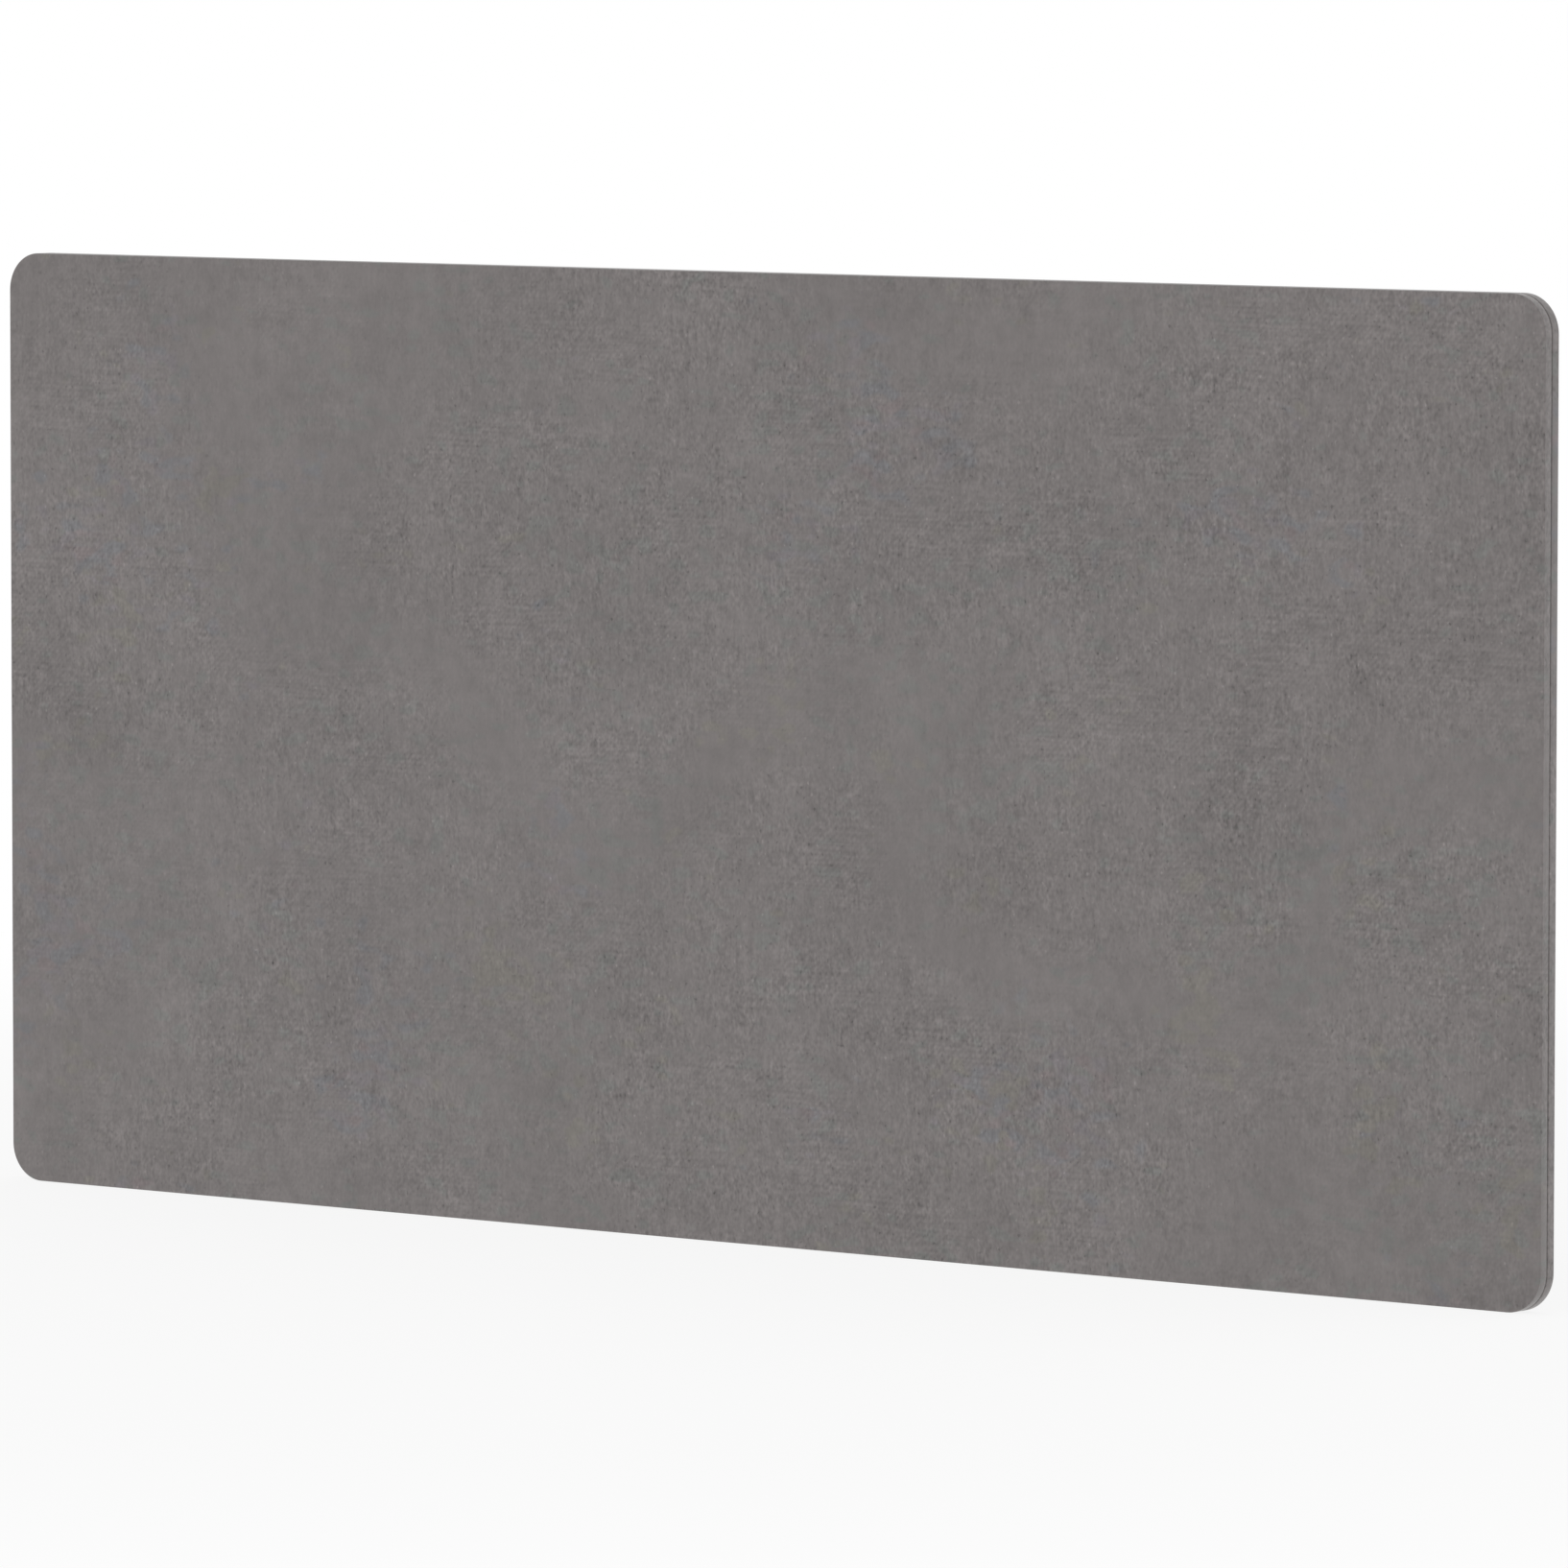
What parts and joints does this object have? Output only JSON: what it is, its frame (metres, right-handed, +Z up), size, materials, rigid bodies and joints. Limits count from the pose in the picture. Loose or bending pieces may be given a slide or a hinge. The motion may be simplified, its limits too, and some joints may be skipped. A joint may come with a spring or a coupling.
{
  "type": "desk screen",
  "caption": "Upright rectangular desk divider with rounded corners, covered on both faces in melange wool cloth that meets in a fine seam round the edge.",
  "frame": {"origin": "middle of the bottom edge: half way along the width, half way through the thickness, on the edge the panel is set down on", "axes": "+X along the width, to the right as seen from the front; +Y through the thickness, from the front face to the back face; +Z up"},
  "size_m": [1.6, 0.019, 0.8],
  "materials": {
    "wool_cloth": "matte",
    "polyester_fleece": "matte",
    "black_pvc": "matte",
    "fibreboard": "matte",
    "recycled_felt": "matte",
    "beech_wood": "matte",
    "turned_brass": "satin"
  },
  "bodies": {
    "root": {"front_cover": "wool_cloth", "back_cover": "wool_cloth", "front_fleece": "polyester_fleece", "back_fleece": "polyester_fleece", "seam_strip": "black_pvc", "left_stile": "fibreboard", "right_stile": "fibreboard", "bottom_rail": "fibreboard", "top_rail": "fibreboard", "mullion_left_to_middle": "fibreboard", "mullion_middle_to_right": "fibreboard", "absorber_pad_left": "recycled_felt", "absorber_pad_middle": "recycled_felt", "absorber_pad_right": "recycled_felt", "dowel_bottom_left_inner": "beech_wood", "dowel_bottom_left_outer": "beech_wood", "dowel_bottom_right_inner": "beech_wood", "dowel_bottom_right_outer": "beech_wood", "dowel_bottom_mullion_1a": "beech_wood", "dowel_bottom_mullion_1b": "beech_wood", "dowel_bottom_mullion_2a": "beech_wood", "dowel_bottom_mullion_2b": "beech_wood", "dowel_top_left_inner": "beech_wood", "dowel_top_left_outer": "beech_wood", "dowel_top_right_inner": "beech_wood", "dowel_top_right_outer": "beech_wood", "dowel_top_mullion_1a": "beech_wood", "dowel_top_mullion_1b": "beech_wood", "dowel_top_mullion_2a": "beech_wood", "dowel_top_mullion_2b": "beech_wood", "screw_insert_left_outer": "turned_brass", "screw_insert_left_inner": "turned_brass", "screw_insert_right_outer": "turned_brass", "screw_insert_right_inner": "turned_brass"}
  },
  "joints": []
}
